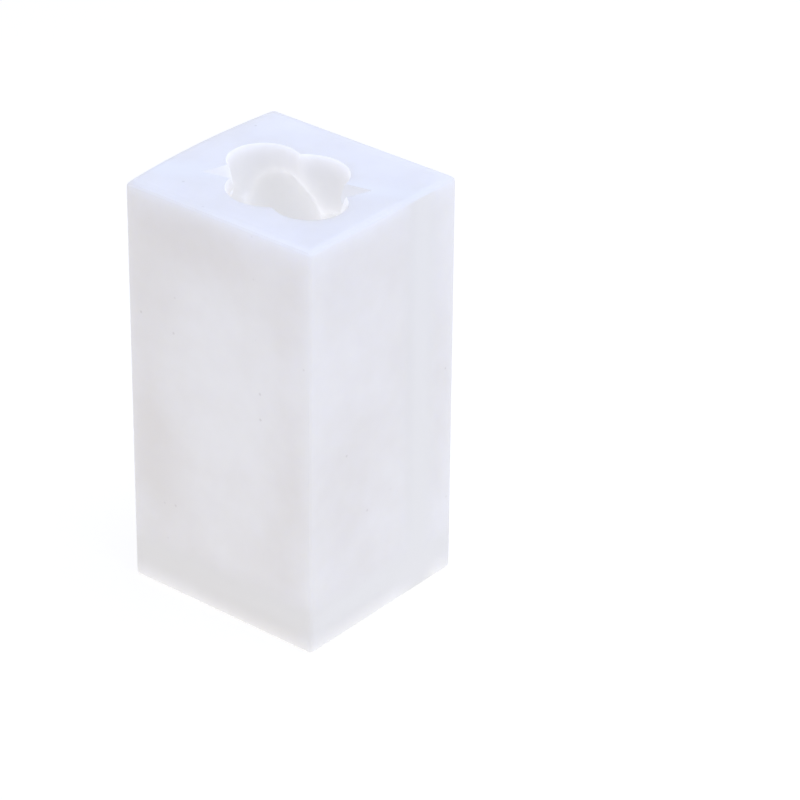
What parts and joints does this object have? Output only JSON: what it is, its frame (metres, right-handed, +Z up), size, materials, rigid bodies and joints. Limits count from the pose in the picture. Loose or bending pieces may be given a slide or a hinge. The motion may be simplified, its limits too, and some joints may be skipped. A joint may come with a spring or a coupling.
{
  "type": "candle mold",
  "caption": "Upright silicone block mold with a braided hollow, a clover-shaped pouring mouth and a wick hole; two wall leaves bend open on a closed floor.",
  "frame": {"origin": "middle of the underside, on the surface that the mold stands on", "axes": "+Z up, out of the pouring mouth; +Y towards the bowed side; the leaves bend open towards -X and +X"},
  "size_m": [0.064, 0.071, 0.13],
  "materials": {
    "silicone": "milky translucent cast silicone, satin"
  },
  "bodies": {
    "floor": {"floor_slab": "silicone"},
    "left_leaf": {"left_leaf": "silicone"},
    "right_leaf": {"right_leaf": "silicone"}
  },
  "joints": [
    {"name": "left_bend", "type": "hinge", "parent": "floor", "child": "left_leaf", "pos_m": [-0.032, 0, 0.01], "axis": [0, -1, 0], "range_deg": [0, 25], "stiffness_Nm_per_rad": 0.3},
    {"name": "right_bend", "type": "hinge", "parent": "floor", "child": "right_leaf", "pos_m": [0.032, 0, 0.01], "axis": [0, 1, 0], "range_deg": [0, 25], "stiffness_Nm_per_rad": 0.3}
  ]
}
